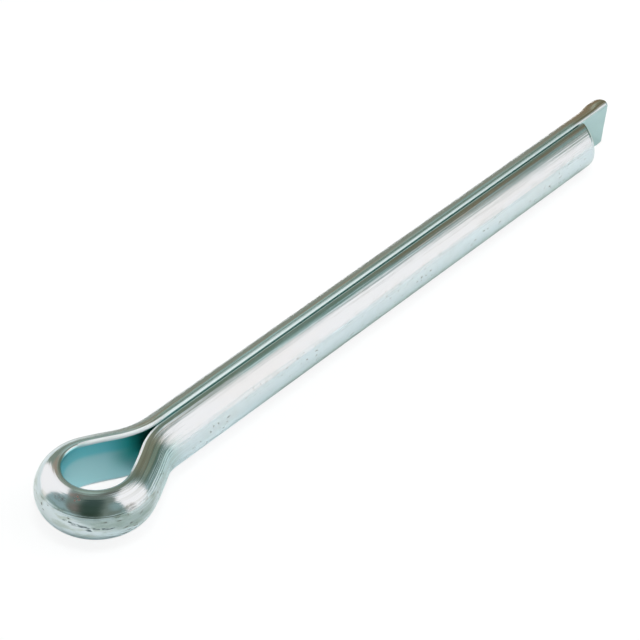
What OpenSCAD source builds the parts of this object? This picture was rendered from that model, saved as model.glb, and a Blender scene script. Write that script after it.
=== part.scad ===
// Cotter pin, also called a split pin: one length of half-round wire, doubled back on itself.
// The wire runs up the long prong, round the eye and down the short prong, with its flat
// inside. The closed prongs make a round shank, which goes through the hole that it locks.
// The origin is on the shank's axis, under the eye, where the eye seats on the hole.
// +X points down the prongs, +Y to the long prong's side, and +Z is the way through the eye.

/* [Wire] */
// Width of the half-round wire, which is also the diameter of the closed shank
wire_w = 3.5; // [2.5:0.1:4.6]
// Gap between the flats of the two prongs
prong_gap = 0.1; // [0.05:0.05:0.3]
// Rounding along the two edges of the wire's flat
edge_r = 0.2; // [0.05:0.05:0.5]

/* [Prongs] */
// Length from under the eye to the end of the short prong's flat
short_prong_l = 45.4; // [20:0.1:100]
// How much further the long prong's flat reaches
long_prong_extra = 3.2; // [1.5:0.1:6]
// How far the short prong's sheared end leans back from its flat, in degrees off square
short_cut_a = 19; // [0:1:35]
// How far the long prong's sheared end leans out from its flat, in degrees off square
long_cut_a = 12; // [0:1:35]
// How far the long prong's sheared end tilts down from its upper edge, in degrees off square
long_cut_tilt = 6; // [0:1:15]
// Length of the corner that is trimmed off the long prong's tip
tip_trim_l = 0.75; // [0.2:0.05:1.2]
// Depth of the corner that is trimmed off the long prong's tip
tip_trim_w = 0.35; // [0.1:0.05:0.6]

/* [Eye] */
// Length from under the eye to its outer end
eye_l = 8; // [5:0.1:14]
// Radius of the inside of the eye
eye_r = 2.05; // [1.5:0.05:4]
// How far the middle of the eye lies off the split, towards the long prong
eye_shift = 0.06; // [0:0.02:0.3]

/* [Neck] */
// Radius of the long prong's bend out to the eye, at the wire's flat
long_neck_r = 6; // [2.5:0.1:9]
// Radius of the short prong's bend out to the eye, at the wire's flat
short_neck_r = 4.5; // [2.5:0.1:9]
// Angle that the long prong bends through on its way out to the eye
long_neck_a = 33; // [24:1:40]
// Angle that the short prong bends through on its way out to the eye
short_neck_a = 30; // [24:1:40]
// Angle that each side of the eye turns back through, before the round of the eye starts
side_a = 6; // [2:1:12]

/* [Hidden] */
$fn = 96;

// The wire's section: its back lies on a circle round the shank's axis, half a gap off the flat
back_r = wire_w / 2;
flat_y = prong_gap / 2;
wire_t = back_r - flat_y;
// The rounds at its edges stand this far proud, and the flat and the back trim them
round_over = 0.002;
edge_x = edge_r - round_over;
edge_z = sqrt(pow(back_r - edge_x, 2) - pow(edge_x + flat_y, 2));

eye_c = [eye_r + wire_t - eye_l, eye_shift];
long_prong_l = short_prong_l + long_prong_extra;

// Radius of a side of the eye, which fills the rise between the neck and the round of the eye
function side_r(eye_rise, neck_r, neck_a) =
    (eye_rise + eye_r * cos(neck_a - side_a) - flat_y - neck_r * (1 - cos(neck_a)))
    / (cos(neck_a - side_a) - cos(neck_a));

// The point at this distance and angle from another
function polar(from, r, a) = from + r * [cos(a), sin(a)];

// The wire's section: its flat lies on the Y axis and its back faces +X
module wire_section() {
    back_c = [-flat_y, 0];
    edge_c = [edge_x, edge_z];
    far_c = 2 * edge_c - back_c;
    intersection() {
        translate(back_c) circle(back_r);
        translate([0, -wire_w]) square([wire_w, 2 * wire_w]);
        union() {
            translate([-edge_r, -edge_z]) square([edge_r + edge_x, 2 * edge_z]);
            polygon([
                back_c, far_c, [wire_w, far_c[1]],
                [wire_w, -far_c[1]], [far_c[0], -far_c[1]],
            ]);
            for (side = [-1, 1]) translate([edge_x, side * edge_z]) circle(edge_r);
        }
    }
}

// Moves a shape to its place in two steps, the second a tiny one, so that no decimals are lost
module place(at) {
    near = [for (v = at) round(v * 1000) / 1000];
    translate(near) translate(at - near) children();
}

// A bend of the wire about a centre: its flat is at radius r, on the inside or the outside
module bend(centre, r, from, angle, flat_in = true) {
    place(centre) rotate_extrude(angle = angle, start = from)
        place([r, 0]) mirror([flat_in ? 0 : 1, 0]) wire_section();
}

// A straight prong along X with its back towards +Y, and a sheared end that leans and tilts
module prong(from, to, lean_a, tilt_a) {
    difference() {
        place([from, flat_y]) rotate([90, 0, 90])
            linear_extrude(to + wire_w - from) wire_section();
        translate([to, flat_y, 0]) rotate([0, tilt_a, -lean_a]) translate([0, -2 * wire_w, -2 * wire_w])
            cube(4 * wire_w);
    }
}

// One side of the pin, on the +Y side: the side of the eye, the neck and the prong
module half(eye_rise, neck_r, neck_a, prong_l, lean_a, tilt_a = 0) {
    s_r = side_r(eye_rise, neck_r, neck_a);
    side_c = polar([eye_c[0], eye_rise], eye_r - s_r, 90 - neck_a + side_a);
    neck_c = polar(side_c, s_r + neck_r, 90 - neck_a);
    bend(side_c, s_r, 90 - neck_a, side_a);
    bend(neck_c, neck_r, 270 - neck_a, neck_a, flat_in = false);
    prong(neck_c[0], prong_l, lean_a, tilt_a);
}

// The corner that is missing from the underside of the long prong's tip
module tip_trim() {
    translate([long_prong_l - tip_trim_l, 0, -back_r]) rotate([0, -atan(tip_trim_w / tip_trim_l), 0])
        translate([-wire_w, 0, -wire_w]) cube([3 * wire_w, wire_w, wire_w]);
}

module cotter_pin() {
    round_start = 90 - long_neck_a + side_a;
    round_end = 270 + short_neck_a - side_a;
    color([0.76, 0.84, 0.85]) {
        difference() {
            half(eye_shift, long_neck_r, long_neck_a, long_prong_l, long_cut_a, long_cut_tilt);
            tip_trim();
        }
        bend(eye_c, eye_r, round_start, round_end - round_start);
        mirror([0, 1, 0]) half(-eye_shift, short_neck_r, short_neck_a, short_prong_l, -short_cut_a);
    }
}

cotter_pin();
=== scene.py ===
import math
import bpy
from mathutils import Matrix, Vector


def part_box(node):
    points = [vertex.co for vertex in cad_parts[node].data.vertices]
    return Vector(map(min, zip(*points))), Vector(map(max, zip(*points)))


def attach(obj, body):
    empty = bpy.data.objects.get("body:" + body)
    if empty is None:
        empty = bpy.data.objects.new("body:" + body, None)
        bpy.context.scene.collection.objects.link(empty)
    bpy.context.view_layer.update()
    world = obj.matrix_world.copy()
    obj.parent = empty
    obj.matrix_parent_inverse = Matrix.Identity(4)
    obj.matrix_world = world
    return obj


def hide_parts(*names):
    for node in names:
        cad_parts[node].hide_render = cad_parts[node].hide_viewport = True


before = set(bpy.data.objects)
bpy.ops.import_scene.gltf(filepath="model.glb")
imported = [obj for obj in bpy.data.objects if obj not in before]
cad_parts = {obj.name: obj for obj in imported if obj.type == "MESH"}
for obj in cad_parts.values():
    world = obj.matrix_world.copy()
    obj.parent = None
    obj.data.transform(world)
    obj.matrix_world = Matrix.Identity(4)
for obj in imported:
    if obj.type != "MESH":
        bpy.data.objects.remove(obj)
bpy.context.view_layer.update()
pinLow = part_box("cotter_pin")[0]
mm = 0.001
print("frame loaded")


def linearColor(hexCode):
    # sRGB hex to the linear colour that Blender works in
    channels = [int(hexCode[i:i + 2], 16) / 255 for i in (1, 3, 5)]
    return [c / 12.92 if c <= 0.04045 else ((c + 0.055) / 1.055) ** 2.4 for c in channels] + [1]


def addNode(tree, kind, inputs=None, **settings):
    # adds a node, sets its properties, and sets or links its inputs
    node = tree.nodes.new(kind)
    for name, value in settings.items():
        setattr(node, name, value)
    for name, value in (inputs or {}).items():
        if isinstance(value, bpy.types.NodeSocket):
            tree.links.new(value, node.inputs[name])
        else:
            node.inputs[name].default_value = value
    return node


def mixBetween(tree, value, low, high, lowColor, highColor):
    # one colour up to the low value, another from the high one, and a smooth change between them
    amount = addNode(tree, "ShaderNodeMapRange", {"Value": value, "From Min": low, "From Max": high},
                     interpolation_type="SMOOTHSTEP")
    return addNode(tree, "ShaderNodeMix", {
        "Factor": amount.outputs["Result"], 6: lowColor, 7: highColor,
    }, data_type="RGBA").outputs[2]


def fadeIn(tree, value, start, end, mask=1):
    # the mask, from none of it where the value is at its start to all of it at the end
    amount = addNode(tree, "ShaderNodeMapRange", {"Value": value, "From Min": start, "From Max": end},
                     interpolation_type="SMOOTHSTEP")
    return addNode(tree, "ShaderNodeMath", {0: amount.outputs["Result"], 1: mask}, operation="MULTIPLY").outputs[0]


def smoothStep(value):
    value = min(max(value, 0), 1)
    return value * value * (3 - 2 * value)


view = {
    "target": (16.88, 0.54, 0),   # mm, the point that the camera turns about
    "azimuth": -51.40,            # degrees, 0 looks along +Y
    "elevation": 38.23,
    "roll": 2.28,
    "distance": 153.4,            # mm
    "lens": 133.1,                # mm on a 36 mm sensor
}


def addCamera():
    data = bpy.data.cameras.new("camera")
    data.sensor_width = 36
    data.lens = view["lens"]
    data.clip_start = 0.01
    data.clip_end = 20
    camera = bpy.data.objects.new("camera", data)
    bpy.context.scene.collection.objects.link(camera)
    camera.matrix_world = (
        Matrix.Translation(Vector(view["target"]) * mm)
        @ Matrix.Rotation(math.radians(view["azimuth"]), 4, "Z")
        @ Matrix.Rotation(math.radians(90 - view["elevation"]), 4, "X")
        @ Matrix.Rotation(math.radians(view["roll"]), 4, "Z")
        @ Matrix.Translation((0, 0, view["distance"] * mm))
    )
    bpy.context.scene.camera = camera


# all in mm and degrees
wire = {
    "width": 3.5,             # also the diameter of the closed shank
    "gap": 0.1,               # between the flats of the two prongs
    "edgeRadius": 0.33,       # along the edges of the flat
    "eyeEdgeRadius": 0.2,
    "shortEdgeRadius": 0.17,
    "tipEdgeRadius": 0.3,
    "longProng": 48.6,        # from under the eye to the end of the flat
    "shortProng": 45.4,
    "eyeRadius": 2.05,        # inside the eye
    "eyeShift": 0.06,         # off the split, towards the long prong
    "longNeckRadius": 6.0,
    "shortNeckRadius": 4.5,
    "longNeckAngle": 33,
    "shortNeckAngle": 30,
    "sideAngle": 6,           # each side of the eye turns back by this before the round starts
    "backSteps": 46,          # edges round the section
    "edgeSteps": 6,
    "flatSteps": 10,
    "ringSpacing": 1.2,       # between rings of vertices, at most
    "ringTurn": 3,
    # where the rounding of the edges changes, and over what length
    "tipBlend": (4.6, 1.5),   # this far from the long prong's end
    "eyeBlend": (1, 5),       # before the long prong's straight part ends
    "shortBlend": (2, 5),     # before the short prong's straight part starts
    "mergeDistance": 0.002,
    "smoothAngle": 35,
}
longEnd = {
    "lean": 12,               # the back reaches further than the flat
    "tilt": 6,                # the top reaches further than the underside
    "trim": (0.75, 0.35),     # the corner cut off the underside
    "backRound": 0.3,         # how far the shears rolled the edge over
    "flatRound": 0.05,
    "swell": 0.13,            # they also spread the last of the back
    "swellLength": 1.6,
}
shortEnd = {
    "lean": -15.5,
    "tilt": 0,
    "trim": None,
    "backRound": 0.33,
    "flatRound": 0.1,
    "swell": 0,
    "swellLength": 1.6,
}
endRings = {
    "round": 4,               # rings round the edge of a sheared face
    "cap": 3,                 # rings from there to the middle of the face
    "bareFrom": 1.5,          # rings over the end, past which the steel is bare
    "middle": 0.22,           # of the wire's width, how high above the flat they close
    "zone": 3.0,              # how far in from the end the wire is reshaped
    "spacing": 0.12,          # between the rings next to the end
    "fineLength": 1.92,
    "fineGap": 0.3,           # from those to the next ring, at least
    "swellFade": 1.1,         # how far the swell takes to build up
    "swellHeight": 0.8,       # above the flat, where it is whole
    "rollHeight": 1.1,        # above the flat, where the edge is rolled over the most
}


def wireOutline(r):
    # the half-round section from the middle of its back, as (height above the flat, sideways)
    backRadius = wire["width"] / 2
    halfGap = wire["gap"] / 2
    edgeSide = math.sqrt((backRadius - r) ** 2 - (r + halfGap) ** 2)
    backAngle = math.atan2(edgeSide, r + halfGap)
    half = wire["backSteps"] // 2
    points = [
        (backRadius * math.cos(backAngle * i / half) - halfGap, backRadius * math.sin(backAngle * i / half))
        for i in range(half)
    ]
    for i in range(wire["edgeSteps"]):
        a = backAngle + (math.pi - backAngle) * i / wire["edgeSteps"]
        points.append((r + r * math.cos(a), edgeSide + r * math.sin(a)))
    half = wire["flatSteps"] // 2
    points += [(0, edgeSide * (1 - i / half)) for i in range(half + 1)]
    return points + [(height, -side) for height, side in points[-2:0:-1]]


def wireStretches():
    # the route of the flat from the long prong's end to the short one's, as (length, turn in radians)
    side = math.radians(wire["sideAngle"])
    eyeR = wire["eyeRadius"]
    eyeX = pinLow.x / mm + eyeR + (wire["width"] - wire["gap"]) / 2
    halves = []
    for prong, shift in (("long", wire["eyeShift"]), ("short", -wire["eyeShift"])):
        neckR = wire[prong + "NeckRadius"]
        turn = math.radians(wire[prong + "NeckAngle"])
        rise = shift + eyeR * math.cos(turn - side) - wire["gap"] / 2 - neckR * (1 - math.cos(turn))
        sideR = rise / (math.cos(turn - side) - math.cos(turn))
        neckX = eyeX + (eyeR - sideR) * math.sin(turn - side) + (sideR + neckR) * math.sin(turn)
        halves.append([(wire[prong + "Prong"] - neckX, 0), (neckR * turn, -turn), (sideR * side, side)])
    eyeTurn = math.pi - 2 * side + math.radians(wire["longNeckAngle"] + wire["shortNeckAngle"])
    return halves[0] + [(eyeR * eyeTurn, eyeTurn)] + halves[1][::-1]


def bendPoint(stretches, along, height, side):
    # where a point of the straight wire goes once it is bent, with its back on the outside
    x, y, heading = wire["longProng"], wire["gap"] / 2, math.pi
    for number, (length, turn) in enumerate(stretches):
        last = number == len(stretches) - 1
        step = along if last else min(along, length)
        turned = turn * step / length
        chord = step if turn == 0 else 2 * length / turn * math.sin(turned / 2)
        x += chord * math.cos(heading + turned / 2)
        y += chord * math.sin(heading + turned / 2)
        heading += turned
        along -= step
        if along <= 0 and not last:
            break
    return Vector((x + height * math.sin(heading), y - height * math.cos(heading), side)) * mm


def ringPlaces(stretches):
    # where the rings of vertices go along the wire, with whole steps past each end for the ends' own rings
    places = []
    start = 0
    for length, turn in stretches:
        steps = math.ceil(max(length / wire["ringSpacing"], abs(math.degrees(turn)) / wire["ringTurn"]))
        places += [start + length * i / steps for i in range(steps)]
        start += length
    fine = [endRings["spacing"] * i for i in range(round(endRings["fineLength"] / endRings["spacing"]) + 1)]
    clear = fine[-1] + endRings["fineGap"]
    middle = [p for p in places if clear < p < start - clear]
    extra = range(1, endRings["round"] + endRings["cap"] + 1)
    return ([-i for i in reversed(extra)] + fine + middle
            + [start - p for p in reversed(fine)] + [start + i for i in extra], start)


def endDepth(height, side, end):
    # how far in from the end of the flat the sheared face lies
    depth = -height * math.tan(math.radians(end["lean"])) - side * math.tan(math.radians(end["tilt"]))
    if end["trim"]:
        trimLength, trimWidth = end["trim"]
        depth = max(depth, trimLength - (side + wire["width"] / 2) * trimLength / trimWidth)
    return depth


def shapeEnd(depth, height, side, end):
    # depth is the distance in from the end of the flat, and counts the rings over the end below 0
    if depth > endRings["zone"]:
        return depth, height, side
    swell = end["swell"] * smoothStep((end["swellLength"] - depth) / endRings["swellFade"])
    swell *= smoothStep(height / endRings["swellHeight"])
    fromAxis = math.hypot(height + wire["gap"] / 2, side)
    height += swell * height / fromAxis
    side += swell * side / fromAxis
    rolled = smoothStep(height / endRings["rollHeight"])
    radius = end["flatRound"] + (end["backRound"] - end["flatRound"]) * rolled
    ring = max(0, -depth)
    around = min(ring / endRings["round"], 1) * math.pi / 2
    middle = Vector((wire["width"] * endRings["middle"], 0))
    inward = middle - Vector((height, side))
    inset = radius * (1 - math.cos(around)) / inward.length
    inset += (1 - inset) * max(0, ring - endRings["round"]) / endRings["cap"]
    height += inward.x * inset
    side += inward.y * inset
    face = endDepth(height, side, end)
    wall = max(depth, 0)
    return wall + (face + radius * (1 - math.sin(around))) * (1 - wall / endRings["zone"]), height, side


def addPin():
    stretches = wireStretches()
    places, total = ringPlaces(stretches)
    outline, tipOutline, eyeOutline, shortOutline = (wireOutline(wire[name]) for name in (
        "edgeRadius", "tipEdgeRadius", "eyeEdgeRadius", "shortEdgeRadius"))
    corner = {(round(height, 4), round(side, 4)): number for number, (height, side) in enumerate(outline)}
    eyeStart = stretches[0][0]
    eyeEnd = total - stretches[-1][0]
    bpy.ops.object.select_all(action="DESELECT")
    bpy.ops.mesh.primitive_circle_add(vertices=len(outline), radius=wire["width"] / 2)
    pin = bpy.context.object
    pin.name = "bentWire"
    for vertex, (height, side) in zip(pin.data.vertices, outline):
        vertex.co = (places[0], height, side)
    bpy.ops.object.mode_set(mode="EDIT")
    bpy.ops.mesh.select_all(action="SELECT")
    for here, after in zip(places, places[1:]):
        bpy.ops.mesh.extrude_region_move(TRANSFORM_OT_translate={"value": (after - here, 0, 0)})
    bpy.ops.object.mode_set(mode="OBJECT")
    # the wire's own coordinates in mm: along it, above its flat and sideways
    pin.data.attributes.new("wirePlace", "FLOAT_VECTOR", "POINT")
    pin.data.attributes.new("shearedFace", "FLOAT", "POINT")
    straight, sheared = (pin.data.attributes[name] for name in ("wirePlace", "shearedFace"))
    for vertex in pin.data.vertices:
        along, height, side = vertex.co
        ring = max(-along, along - total)
        sheared.data[vertex.index].value = 1 if ring > endRings["bareFrom"] else 0
        number = corner[round(height, 4), round(side, 4)]
        for goal, past, (reach, length) in ((tipOutline, -along, wire["tipBlend"]),
                                            (eyeOutline, along - eyeStart, wire["eyeBlend"]),
                                            (shortOutline, along - eyeEnd, wire["shortBlend"])):
            amount = smoothStep((past + reach) / length)
            height += (goal[number][0] - height) * amount
            side += (goal[number][1] - side) * amount
        if along < total / 2:
            along, height, side = shapeEnd(along, height, side, longEnd)
        else:
            depth, height, side = shapeEnd(total - along, height, side, shortEnd)
            along = total - depth
        straight.data[vertex.index].vector = (along, height, side)
        vertex.co = bendPoint(stretches, along, height, side)
    bpy.ops.object.mode_set(mode="EDIT")
    bpy.ops.mesh.select_all(action="SELECT")
    bpy.ops.mesh.remove_doubles(threshold=wire["mergeDistance"] * mm)
    bpy.ops.mesh.normals_make_consistent(inside=False)
    bpy.ops.object.mode_set(mode="OBJECT")
    bpy.ops.object.shade_smooth_by_angle(angle=math.radians(wire["smoothAngle"]))
    return pin


zinc = {
    "back": "#CDDCE2",        # the zinc's own colour where drawing has polished it
    "straw": "#CEDBDF",       # it turns from blue to straw in broad patches
    "flat": "#B4DDE2",        # bluer on the flat
    "flatTopShade": "#86D4DD",     # painted shade: bluest and darkest along its upper edge
    "flatTip": "#A4C2C4",     # paler on the tip
    # mm, how large the features of each pattern are along the wire, above its flat and sideways
    "sizes": {
        "patch": (25 / 3, 2.5, 2.5),    # of blue and straw
        "stain": (2 / 3, 0.4, 0.4),
        "streak": (14, 0.45, 0.45),
        "line": (12, 0.12, 0.12),       # drawn lines, a little coarser than real so that they show
        "wave": (1.6, 0.8, 0.8),        # the surface is never quite even
        "pit": (1 / 3, 0.2, 0.2),
        "cluster": (10 / 3, 2, 2),      # of pits
        "mark": (1 / 6, 1 / 9, 1 / 9),  # breaks up the scuffs, smudges and reddish specks
        "score": (5, 1.25, 1 / 9),
    },
    "lineDepth": 0.05,
    "waveDepth": 0.006,
    # colours laid over those, and how much they cover
    "layers": {
        "wedgeShade": ("#34A39C", 0.9),       # painted shade, darkest where the flats close in on each other
        "split": ("#50968C", 1),        # painted shade: greener and darker inside the split
        "mottle": ("#A3B3A9", 1),       # faint stains, most of them on the eye
        "brownStreak": ("#D6C4B4", 0.7),
        "tealStreak": ("#B4DADF", 0.7),
        "tip": ("#CDBBA4", 0.85),       # painted reflection: browner at the tip
        "edge": ("#CBE6EA", 1),         # the prongs' bright edges
        "neckEdgeHighlight": ("#E6EEF2", 1),        # painted highlight: the edges are pale and matt where the necks bend
        "neck": ("#A0C4C4", 0.6),       # painted shade: darker and bluer on the short prong's neck, below its upper side
        "neckTop": ("#EFECE8", 0.9),    # painted reflection: paler and warmer along its upper side
        "neckLine": ("#8E9D96", 0.4),   # and darker along its lines
        "pit": ("#5E5850", 0.55),
        "scuff": ("#4C6068", 0.85),
        "smudge": ("#5E5850", 0.5),
        "reddishSpeck": ("#C0735C", 0.6),
        "steel": ("#CDCCBA", 0.85),     # bare where it was sheared
        "score": ("#A3A294", 0.45),
    },
    "roughness": {
        "smoothest": 0.1, "dullest": 0.18,
        "flat": 0.36,                   # satin, where the back is a mirror
        "edge": 0.3, "neckEdgeHighlight": 0.7, "scuff": 0.6, "pit": 0.5, "smudge": 0.32, "reddishSpeck": 0.7, "steel": 0.5,
    },
    # mm along the wire from the long prong's end: where each zone starts, is whole, starts to end and has
    # ended, with None where it has no such side
    "zones": {
        "eye": [(50, 54, 60, 64)],
        "wedgeShade": [(44, 46, 49.3, 51.3), (62.5, 64.5, 66, 68)],
        "split": [(3.6, 4.2, 44, 46), (66, 68, None, None)],
        "streaks": [(None, None, 48, 51), (64, 66, None, None)],
        "tip": [(None, None, 1.5, 7)],
        "edge": [(3.2, 4.5, 46.5, 48)],
        "neckEdgeHighlight": [(46.2, 48.2, 51.8, 53.2), (60.2, 61.7, 64, 65.8)],
        "lines": [(58, 61.5, 65, 68)],
        "neck": [(60.5, 62.5, 63.8, 66.5)],
        "neckTop": [(60.3, 61.5, 63.8, 65)],
        "neckLine": [(None, None, 64, 66.5)],
    },
    # mm above the flat, sideways from the middle of the wire, or along it for the flat's tip: where each
    # finish starts and is whole
    "reaches": {
        "back": (0.1, 0.3), "flat": (0.1, 0.01), "flatRim": (0.02, 0.12), "flatTip": (3.5, 5),
        "flatTopShade": (0.4, 0.9), "wedgeShade": (-1.5, 0.4), "mottle": (1.3, 0.8), "streaks": (1.56, 1.66),
        "edgeSide": (1.27, 1.4), "edgeHeight": (0.5, 0.3), "neckEdgeHighlightSide": (1.48, 1.56), "neckEdgeHighlightHeight": (0.24, 0.15),
        "neck": (1.3, 1), "neckTop": (1.3, 1.5), "lines": (0.3, 0.6), "pit": (1.1, 0.5),
    },
    # how much of its noise each finish takes: the value where it starts and where it is whole
    "cuts": {
        "straw": (0.42, 0.62), "mottle": (0.45, 0.65), "brownStreak": (0.46, 0.6), "tealStreak": (0.48, 0.36),
        "neckLine": (0.42, 0.58), "cluster": (0.42, 0.58), "pit": (0.67, 0.73), "scuff": (0.40, 0.56),
        "smudge": (0.25, 0.65), "reddishSpeck": (0.35, 0.5), "score": (0.4, 0.6), "roughness": (0.35, 0.65),
    },
    "markCore": 0.4,          # of a mark's reach, within which it is whole
    "stains": (0.08, 0.55),   # how strong they are everywhere, and what the eye adds
    "lineStrength": 0.55,     # of the drawn lines on the prongs
    "neckLines": 0.5,         # added on the short prong's neck
    "eyeLines": -0.32,        # added on the eye, where they are faint
    "eyePits": 0.025,         # added to the pits' noise on the eye
}
# marks on the eye: place along the wire, above its flat and sideways, then the reach each way, all in mm
marks = {
    "scuff": [
        ((57.15, 1.68, 0.36), (0.26, 0.4, 0.09)),
        ((57.42, 1.69, 0.26), (0.28, 0.4, 0.11)),
        ((57.68, 1.70, 0.19), (0.24, 0.4, 0.09)),
        ((57.95, 1.71, 0.13), (0.26, 0.4, 0.09)),
        ((58.25, 1.71, 0.07), (0.26, 0.4, 0.08)),
        ((58.52, 1.71, 0.03), (0.22, 0.4, 0.07)),
        ((57.90, 1.71, -0.02), (0.2, 0.4, 0.14)),
    ],
    "reddishSpeck": [
        ((57.28, 0.72, 1.57), (0.07, 0.1, 0.08)),
        ((57.38, 0.85, 1.50), (0.09, 0.1, 0.07)),
        ((57.22, 0.95, 1.45), (0.07, 0.1, 0.08)),
    ],
    "smudge": [
        ((56.55, 1.10, 1.33), (0.4, 0.3, 0.22)),
        ((57.28, 0.76, 1.56), (0.28, 0.2, 0.12)),
        ((59.35, 1.45, 0.95), (0.3, 0.3, 0.3)),
    ],
}


def noiseAt(tree, place, name, detail=2):
    # noise on the wire's own coordinates, with features of this name's size
    scale = [1 / size for size in zinc["sizes"][name]]
    vector = addNode(tree, "ShaderNodeVectorMath", {0: place, 1: scale}, operation="MULTIPLY")
    noise = addNode(tree, "ShaderNodeTexNoise", {"Vector": vector.outputs[0], "Scale": 1, "Detail": detail})
    return noise.outputs["Fac"]


def markMask(tree, place, spots):
    # 1 inside the spots and 0 outside, soft at the rim
    mask = 0
    for centre, reach in spots:
        away = addNode(tree, "ShaderNodeVectorMath", {0: place, 1: centre}, operation="SUBTRACT")
        away = addNode(tree, "ShaderNodeVectorMath", {0: away.outputs[0], 1: reach}, operation="DIVIDE")
        away = addNode(tree, "ShaderNodeVectorMath", {0: away.outputs[0]}, operation="LENGTH")
        inside = addNode(tree, "ShaderNodeMapRange", {
            "Value": away.outputs["Value"], "From Min": 1, "From Max": zinc["markCore"],
        })
        mask = addNode(tree, "ShaderNodeMath", {0: inside.outputs[0], 1: mask}, operation="MAXIMUM").outputs[0]
    return mask


def layOver(tree, color, mask, name):
    # lays the layer of this name over the colour, where the mask is
    hexCode, strength = zinc["layers"][name]
    amount = addNode(tree, "ShaderNodeMath", {0: mask, 1: strength}, operation="MULTIPLY")
    return addNode(tree, "ShaderNodeMix", {
        "Factor": amount.outputs[0], 6: color, 7: linearColor(hexCode),
    }, data_type="RGBA").outputs[2]


def inZone(tree, along, name, mask=1):
    # the mask where the zone of this name is
    covered = 0
    for start, whole, ending, end in zinc["zones"][name]:
        here = mask
        if end is not None:
            here = fadeIn(tree, along, end, ending, here)
        if start is not None:
            here = fadeIn(tree, along, start, whole, here)
        covered = addNode(tree, "ShaderNodeMath", {0: here, 1: covered}, operation="ADD").outputs[0]
    return covered


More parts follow.
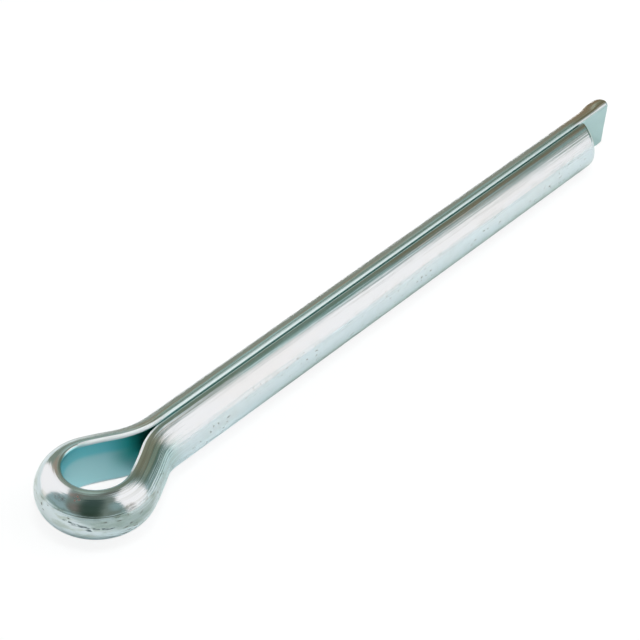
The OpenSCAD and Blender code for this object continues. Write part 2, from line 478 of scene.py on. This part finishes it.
def zincPlate():
    # bright zinc plate with a blue passivate over drawn wire: a cool mirror with fine lines along the wire,
    # faint straw patches, small dark pits and a few scuffs
    material = bpy.data.materials.new("blueZincPlate")
    material.use_nodes = True
    tree = material.node_tree
    shader = tree.nodes["Principled BSDF"]
    place = addNode(tree, "ShaderNodeAttribute", attribute_name="wirePlace").outputs["Vector"]
    parts = addNode(tree, "ShaderNodeSeparateXYZ", {"Vector": place})
    along, height, side = parts.outputs["X"], parts.outputs["Y"], parts.outputs["Z"]
    sideways = addNode(tree, "ShaderNodeMath", {0: side}, operation="ABSOLUTE").outputs[0]

    reaches, cuts = zinc["reaches"], zinc["cuts"]

    # blue to straw in patches on the back, teal on the flat
    patch = noiseAt(tree, place, "patch", 3)
    back = mixBetween(tree, patch, *cuts["straw"], linearColor(zinc["back"]), linearColor(zinc["straw"]))
    # painted shade: the flat turns a darker teal towards its upper edge
    flat = mixBetween(tree, side, *reaches["flatTopShade"], linearColor(zinc["flat"]), linearColor(zinc["flatTopShade"]))
    flat = mixBetween(tree, along, *reaches["flatTip"], linearColor(zinc["flatTip"]), flat)
    # painted shade: darker teal where the flats close in on each other near the necks
    wedgeShade = fadeIn(tree, side, *reaches["wedgeShade"], inZone(tree, along, "wedgeShade"))
    flat = layOver(tree, flat, wedgeShade, "wedgeShade")
    # painted shade inside the split between the prongs
    flat = layOver(tree, flat, inZone(tree, along, "split"), "split")
    color = mixBetween(tree, height, *reaches["flatRim"], flat, back)
    onFlat = fadeIn(tree, height, *reaches["flat"])
    onBack = fadeIn(tree, height, *reaches["back"])
    onEye = inZone(tree, along, "eye")

    # faint stains, most of them on the eye
    everywhere, added = zinc["stains"]
    stained = addNode(tree, "ShaderNodeMath", {0: onEye, 1: added, 2: everywhere}, operation="MULTIPLY_ADD")
    stained = fadeIn(tree, side, *reaches["mottle"], fadeIn(tree, height, *reaches["back"], stained.outputs[0]))
    mottle = fadeIn(tree, noiseAt(tree, place, "stain", 4), *cuts["mottle"], stained)
    color = layOver(tree, color, mottle, "mottle")

    # long streaks of brown and teal beside the split
    streaks = noiseAt(tree, place, "streak")
    besideSplit = inZone(tree, along, "streaks", fadeIn(tree, side, *reaches["streaks"], onBack))
    for name in ("brownStreak", "tealStreak"):
        color = layOver(tree, color, fadeIn(tree, streaks, *cuts[name], besideSplit), name)
    # painted reflection: the back turns browner towards the long prong's tip
    color = layOver(tree, color, inZone(tree, along, "tip", onBack), "tip")

    # rubbed edges of the prongs, and a painted highlight: pale matt edges where the necks bend
    rubbed, neckEdgeHighlightMask = (
        inZone(tree, along, name, fadeIn(tree, sideways, *reaches[name + "Side"],
                                         fadeIn(tree, height, *reaches[name + "Height"])))
        for name in ("edge", "neckEdgeHighlight"))
    color = layOver(tree, color, rubbed, "edge")
    color = layOver(tree, color, neckEdgeHighlightMask, "neckEdgeHighlight")

    # drawn lines, strongest on the short prong's neck and faint on the eye
    lines = noiseAt(tree, place, "line", 3)
    onNeck = inZone(tree, along, "lines", fadeIn(tree, height, *reaches["lines"]))
    # painted shade on the lower side of the short prong's neck, and a painted reflection along its upper side
    for name in ("neck", "neckTop"):
        color = layOver(tree, color, fadeIn(tree, side, *reaches[name], inZone(tree, along, name, onBack)), name)
    # darker along the drawn lines of the short prong's neck
    neckLineDarkening = inZone(tree, along, "neckLine", fadeIn(tree, lines, *cuts["neckLine"], onNeck))
    color = layOver(tree, color, neckLineDarkening, "neckLine")
    lineStrength = zinc["lineStrength"]
    for mask, added in ((onNeck, zinc["neckLines"]), (onEye, zinc["eyeLines"])):
        lineStrength = addNode(tree, "ShaderNodeMath", {0: mask, 1: added, 2: lineStrength},
                               operation="MULTIPLY_ADD").outputs[0]
    waves = addNode(tree, "ShaderNodeBump", {
        "Strength": onBack, "Distance": zinc["waveDepth"] * mm,
        "Height": noiseAt(tree, place, "wave", 1),
    })
    bump = addNode(tree, "ShaderNodeBump", {
        "Strength": fadeIn(tree, height, *reaches["back"], lineStrength), "Distance": zinc["lineDepth"] * mm,
        "Height": lines, "Normal": waves.outputs["Normal"],
    })

    # pits in clusters, more of them on the eye, then its scuffs, smudges and reddish specks
    specks = noiseAt(tree, place, "pit", 1)
    specks = addNode(tree, "ShaderNodeMath", {0: onEye, 1: zinc["eyePits"], 2: specks}, operation="MULTIPLY_ADD")
    clusters = fadeIn(tree, noiseAt(tree, place, "cluster"), *cuts["cluster"], onBack)
    masks = {"flat": onFlat, "edge": rubbed, "neckEdgeHighlight": neckEdgeHighlightMask}
    broken = noiseAt(tree, place, "mark")
    for name in ("scuff", "smudge", "reddishSpeck"):
        masks[name] = fadeIn(tree, broken, *cuts[name], markMask(tree, place, marks[name]))
    masks["pit"] = fadeIn(tree, specks.outputs[0], *cuts["pit"], fadeIn(tree, side, *reaches["pit"], clusters))
    # bare steel on the sheared faces, scored the way that the shears went
    masks["steel"] = addNode(tree, "ShaderNodeAttribute", attribute_name="shearedFace").outputs["Fac"]
    for name in ("pit", "scuff", "smudge", "reddishSpeck", "steel"):
        color = layOver(tree, color, masks[name], name)
    scores = fadeIn(tree, noiseAt(tree, place, "score"), *cuts["score"], masks["steel"])
    color = layOver(tree, color, scores, "score")

    low, high = cuts["roughness"]
    roughness = addNode(tree, "ShaderNodeMapRange", {
        "Value": patch, "From Min": low, "From Max": high,
        "To Min": zinc["roughness"]["smoothest"], "To Max": zinc["roughness"]["dullest"],
    }).outputs["Result"]
    for name in ("flat", "edge", "neckEdgeHighlight", "scuff", "pit", "smudge", "reddishSpeck", "steel"):
        roughness = addNode(tree, "ShaderNodeMix", {
            "Factor": masks[name], "A": roughness, "B": zinc["roughness"][name],
        }).outputs["Result"]
    # the painted highlight on the necks' edges scatters light, and the rest is a mirror
    metallic = addNode(tree, "ShaderNodeMath", {0: 1, 1: neckEdgeHighlightMask}, operation="SUBTRACT")
    tree.links.new(metallic.outputs[0], shader.inputs["Metallic"])
    tree.links.new(color, shader.inputs["Base Color"])
    tree.links.new(roughness, shader.inputs["Roughness"])
    tree.links.new(bump.outputs["Normal"], shader.inputs["Normal"])
    return material


studio = {
    "floorSize": 4,           # m
    "paper": "#F4F6F7",
    # the camera sees the paper overexposed by its glow, so a darker paper leaves only a faint shadow
    "cameraPaper": "#6A6E70",
    "glow": {"Is Camera Ray": 0.86, "Is Glossy Ray": 0.03, "Is Transmission Ray": 0.03},
    # in reflections the paper has another tone this close to the pin, in mm: darker and greener under the
    # shank, paler under the eye
    "shadowReach": 2.5,
    "shadow": (0.46, 0.6, 0.53),
    "eyeShadow": (1.12, 1.26, 1.3),
    "eyeShadowEnd": (5, 13),  # mm along the pin
    # and it is darker in front of the eye: where that starts and is whole, in mm off the pin and along it
    "shade": (0.6, 0.66, 0.63),
    "shadeFront": (-3, -5.5),
    "shadeEnd": (8, -4),
    "lampColor": (1.15, 0.99, 0.95),
    "room": (0.37, 0.46, 0.45),
    "lowRoom": (0.76, 0.83, 0.82),  # the pale sweep goes on above the floor's edge, but not at the back
    "sweepTop": (0.03, 0.16),       # sines of the elevations where it ends
    "back": 120,                    # degrees
    "backReach": (0.4, 0.75),       # cosines of the angles from there
    # patches of the room: azimuth, elevation, reach and fade in degrees, and colour
    "patches": [
        (125, 25, 60, 22, (0.29, 0.32, 0.25)),
        (108, 38, 28, 14, (0.21, 0.235, 0.175)),
        (86, 16, 20, 9, (0.15, 0.235, 0.19)),
        (79, 53, 14, 10, (0.44, 0.52, 0.50)),
        (100, 41, 13, 9, (0.19, 0.195, 0.14)),
        (139, 29, 13, 9, (0.52, 0.64, 0.60)),
        (157, 36, 12, 8, (0.44, 0.33, 0.25)),
        (0, 90, 30, 12, (0.19, 0.19, 0.16)),
        (22, 71, 17, 7, (1.25, 1.2, 1.2)),
        (148, 68, 11, 8, (0.47, 0.55, 0.47)),
        (-135, 70, 14, 8, (0.34, 0.23, 0.18)),
        (-48, 47, 52, 8, (0.23, 0.26, 0.22)),
        (4, 40, 24, 20, (0.33, 0.42, 0.4)),
        (-87, 38, 20, 12, (0.25, 0.21, 0.18)),
        (-60, 27, 27, 22, (0.05, 0.08, 0.06)),
        (-60, 50, 27, 22, (0.05, 0.08, 0.06)),
        (-60, 70, 20, 14, (0.06, 0.09, 0.075)),
    ],
}
# cards that stand upright: their edges are azimuths and elevations in degrees, as seen from the eye
softboxes = {
    "rightSoftbox": {
        "left": 5, "right": 95, "low": 1.5, "high": 72,
        "strength": 1.21,
        "fades": (0.04, 0.03, 0.01, 0.25),  # how much fades out at the left, right, lower and upper edge
        "rightEdge": 0.3,                   # of the width, where it is at mid height
        "lean": 0.55,                       # and how it leans
    },
    "leftSoftbox": {
        "left": -196, "right": -143, "low": -2, "high": 63,
        "strength": 1.2,
        "fades": (0.1, 0.1, 0.03, 0.1),
        "rightEdge": 0.5,
        "lean": 0,
    },
}
softboxDistance = 450  # mm


def direction(azimuth, elevation):
    # turns +Z to this direction, where azimuth 0 is towards -Y
    return Matrix.Rotation(math.radians(azimuth), 4, "Z") @ Matrix.Rotation(math.radians(90 - elevation), 4, "X")


def addFloor():
    # a sweep of matt paper: an even pale ground, with only a faint shadow under the pin
    bpy.ops.mesh.primitive_plane_add(size=studio["floorSize"], location=(0, 0, pinLow.z))
    floor = bpy.context.object
    floor.name = "floor"
    material = bpy.data.materials.new("palePaper")
    material.use_nodes = True
    tree = material.node_tree
    tree.nodes.clear()
    rays = addNode(tree, "ShaderNodeLightPath")
    spot = addNode(tree, "ShaderNodeTexCoord")
    spot = addNode(tree, "ShaderNodeSeparateXYZ", {"Vector": spot.outputs["Object"]})
    near = addNode(tree, "ShaderNodeAmbientOcclusion", {"Distance": studio["shadowReach"] * mm}, samples=8)
    tone = mixBetween(tree, spot.outputs["X"], *(x * mm for x in studio["eyeShadowEnd"]),
                      (*studio["eyeShadow"], 1), (*studio["shadow"], 1))
    tone = mixBetween(tree, near.outputs["AO"], 0, 1, tone, (1, 1, 1, 1))
    shaded = fadeIn(tree, spot.outputs["Y"], *(y * mm for y in studio["shadeFront"]))
    shaded = fadeIn(tree, spot.outputs["X"], *(x * mm for x in studio["shadeEnd"]), shaded)
    shaded = addNode(tree, "ShaderNodeMix", {
        "Factor": shaded, 6: (1, 1, 1, 1), 7: (*studio["shade"], 1),
    }, data_type="RGBA").outputs[2]
    tone = addNode(tree, "ShaderNodeMix", {
        "Factor": 1, 6: tone, 7: shaded,
    }, data_type="RGBA", blend_type="MULTIPLY").outputs[2]
    tone = addNode(tree, "ShaderNodeMix", {
        "Factor": rays.outputs["Is Camera Ray"], 6: tone, 7: (1, 1, 1, 1),
    }, data_type="RGBA").outputs[2]
    paper = addNode(tree, "ShaderNodeMix", {
        "Factor": rays.outputs["Is Camera Ray"],
        6: linearColor(studio["paper"]), 7: linearColor(studio["cameraPaper"]),
    }, data_type="RGBA")
    paper = addNode(tree, "ShaderNodeMix", {
        "Factor": 1, 6: paper.outputs[2], 7: tone,
    }, data_type="RGBA", blend_type="MULTIPLY")
    matt = addNode(tree, "ShaderNodeBsdfDiffuse", {"Color": paper.outputs[2]})
    strength = 0
    for ray, glow in studio["glow"].items():
        strength = addNode(tree, "ShaderNodeMath", {0: rays.outputs[ray], 1: glow, 2: strength},
                           operation="MULTIPLY_ADD").outputs[0]
    glow = addNode(tree, "ShaderNodeEmission", {"Color": tone, "Strength": strength})
    both = addNode(tree, "ShaderNodeAddShader", {0: matt.outputs[0], 1: glow.outputs[0]})
    addNode(tree, "ShaderNodeOutputMaterial", {"Surface": both.outputs[0]})
    floor.data.materials.append(material)


def addSoftbox(name, box):
    # white diffusion cloth with a lamp behind it: an even glow that fades out at the edges
    bpy.ops.mesh.primitive_plane_add(size=1)
    card = bpy.context.object
    card.name = name
    width = 2 * math.tan(math.radians((box["right"] - box["left"]) / 2))
    low, high = (math.tan(math.radians(box[edge])) for edge in ("low", "high"))
    card.matrix_world = (
        Matrix.Rotation(math.radians((box["left"] + box["right"]) / 2), 4, "Z")
        @ Matrix.Rotation(math.radians(90), 4, "X")
        @ Matrix.Scale(softboxDistance * mm, 4)
        @ Matrix.Translation((0, (low + high) / 2, 1))
        @ Matrix.Diagonal((width, high - low, 1, 1))
    )
    material = bpy.data.materials.new(name + "Cloth")
    material.use_nodes = True
    tree = material.node_tree
    tree.nodes.clear()
    spot = addNode(tree, "ShaderNodeTexCoord")
    spot = addNode(tree, "ShaderNodeSeparateXYZ", {"Vector": spot.outputs["Object"]})
    leaning = addNode(tree, "ShaderNodeMath", {0: spot.outputs["Y"], 1: -box["lean"], 2: spot.outputs["X"]},
                      operation="MULTIPLY_ADD").outputs[0]
    cover = 1
    for value, side, fade in zip((spot.outputs["X"], leaning, spot.outputs["Y"], spot.outputs["Y"]),
                                 (-0.5, box["rightEdge"], -0.5, 0.5), box["fades"]):
        fall = addNode(tree, "ShaderNodeMapRange", {
            "Value": value, "From Min": side, "From Max": side - math.copysign(fade, side),
        }, interpolation_type="SMOOTHSTEP")
        cover = addNode(tree, "ShaderNodeMath", {0: fall.outputs[0], 1: cover}, operation="MULTIPLY").outputs[0]
    glow = addNode(tree, "ShaderNodeEmission", {"Color": (*studio["lampColor"], 1), "Strength": box["strength"]})
    clear = addNode(tree, "ShaderNodeBsdfTransparent")
    both = addNode(tree, "ShaderNodeMixShader", {0: cover, 1: clear.outputs[0], 2: glow.outputs[0]})
    addNode(tree, "ShaderNodeOutputMaterial", {"Surface": both.outputs[0]})
    card.data.materials.append(material)
    card.visible_camera = False
    card.visible_shadow = False


lamps = {
    # distance and size in mm, power in watts
    "rightLamp": {"azimuth": 58, "elevation": 48, "distance": 130, "size": 80, "power": 0.045},
    "leftLamp": {"azimuth": -165, "elevation": 45, "distance": 400, "size": 300, "power": 0.1},
    "topLamp": {"azimuth": -40, "elevation": 84, "distance": 250, "size": 60, "power": 0.23},
}


def addLamp(name, azimuth, elevation, distance, size, power):
    # lights the paper and is not mirrored in the metal
    data = bpy.data.lights.new(name, "AREA")
    data.shape = "SQUARE"
    data.size = size * mm
    data.energy = power
    lamp = bpy.data.objects.new(name, data)
    bpy.context.scene.collection.objects.link(lamp)
    lamp.matrix_world = (Matrix.Translation(Vector(view["target"]) * mm) @ direction(azimuth, elevation)
                         @ Matrix.Translation((0, 0, distance * mm)))
    lamp.visible_glossy = False


darkCard = {
    "start": -8, "end": 100,  # mm along the pin
    "fade": 0.08,             # of its length
    "lean": 18,               # its left edge starts this much further on at the top
    "behind": 7,
    "top": 4.3,
    "color": (0.31, 0.31, 0.25),
    "endColor": (0.29, 0.25, 0.18),
    "browner": (42, 58),      # mm, where it turns to the end's colour
}


def addDarkCard():
    # olive sheet that glows evenly: painted shade standing in for the shaded paper behind the shank. It is seen
    # only in the metal, where it draws the upper outline against the pale paper
    low = pinLow.z / mm
    size = (darkCard["end"] - darkCard["start"], darkCard["top"] - low)
    bpy.ops.mesh.primitive_plane_add(size=1)
    card = bpy.context.object
    card.name = "darkCard"
    card.matrix_world = (
        Matrix.Translation(Vector((darkCard["start"] + size[0] / 2, darkCard["behind"], low + size[1] / 2)) * mm)
        @ Matrix.Rotation(math.radians(90), 4, "X")
        @ Matrix.Diagonal((size[0] * mm, size[1] * mm, 1, 1))
    )
    material = bpy.data.materials.new("paintedShadeCard")
    material.use_nodes = True
    tree = material.node_tree
    tree.nodes.clear()
    spot = addNode(tree, "ShaderNodeTexCoord")
    spot = addNode(tree, "ShaderNodeSeparateXYZ", {"Vector": spot.outputs["Object"]})
    lean = darkCard["lean"] / size[0]
    leaning = addNode(tree, "ShaderNodeMath", {0: spot.outputs["Y"], 1: -lean, 2: spot.outputs["X"]},
                      operation="MULTIPLY_ADD").outputs[0]
    start = -0.5 + lean / 2
    solid = fadeIn(tree, leaning, start, start + darkCard["fade"])
    browner = [(x - darkCard["start"]) / size[0] - 0.5 for x in darkCard["browner"]]
    color = mixBetween(tree, spot.outputs["X"], *browner, (*darkCard["color"], 1), (*darkCard["endColor"], 1))
    glow = addNode(tree, "ShaderNodeEmission", {"Color": color})
    clear = addNode(tree, "ShaderNodeBsdfTransparent")
    both = addNode(tree, "ShaderNodeMixShader", {0: solid, 1: clear.outputs[0], 2: glow.outputs[0]})
    addNode(tree, "ShaderNodeOutputMaterial", {"Surface": both.outputs[0]})
    card.data.materials.append(material)
    card.visible_camera = False
    card.visible_diffuse = False
    card.visible_shadow = False


def addRoom():
    world = bpy.data.worlds.new("room")
    bpy.context.scene.world = world
    world.use_nodes = True
    tree = world.node_tree
    way = addNode(tree, "ShaderNodeTexCoord").outputs["Generated"]
    color = (*studio["room"], 1)
    for azimuth, elevation, reach, fade, patch in studio["patches"]:
        near = addNode(tree, "ShaderNodeVectorMath", {0: way, 1: direction(azimuth, elevation) @ Vector((0, 0, 1))},
                       operation="DOT_PRODUCT")
        color = mixBetween(tree, near.outputs["Value"], math.cos(math.radians(reach)),
                           math.cos(math.radians(reach - fade)), color, (*patch, 1))
    height = addNode(tree, "ShaderNodeSeparateXYZ", {"Vector": way}).outputs["Z"]
    back = addNode(tree, "ShaderNodeVectorMath", {0: way, 1: direction(studio["back"], 0) @ Vector((0, 0, 1))},
                   operation="DOT_PRODUCT")
    low = mixBetween(tree, back.outputs["Value"], *studio["backReach"], (*studio["lowRoom"], 1), color)
    color = mixBetween(tree, height, *studio["sweepTop"], low, color)
    tree.links.new(color, tree.nodes["Background"].inputs["Color"])


def addStudio():
    addFloor()
    for name, facts in softboxes.items():
        addSoftbox(name, facts)
    for name, facts in lamps.items():
        addLamp(name, **facts)
    addDarkCard()
    addRoom()
    bpy.context.scene.view_settings.view_transform = "Standard"


addCamera()
pin = addPin()
pin.data.materials.append(zincPlate())
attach(pin, "root")
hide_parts("cotter_pin")
print("pin made:", len(pin.data.polygons), "faces")
addStudio()
print("studio made")
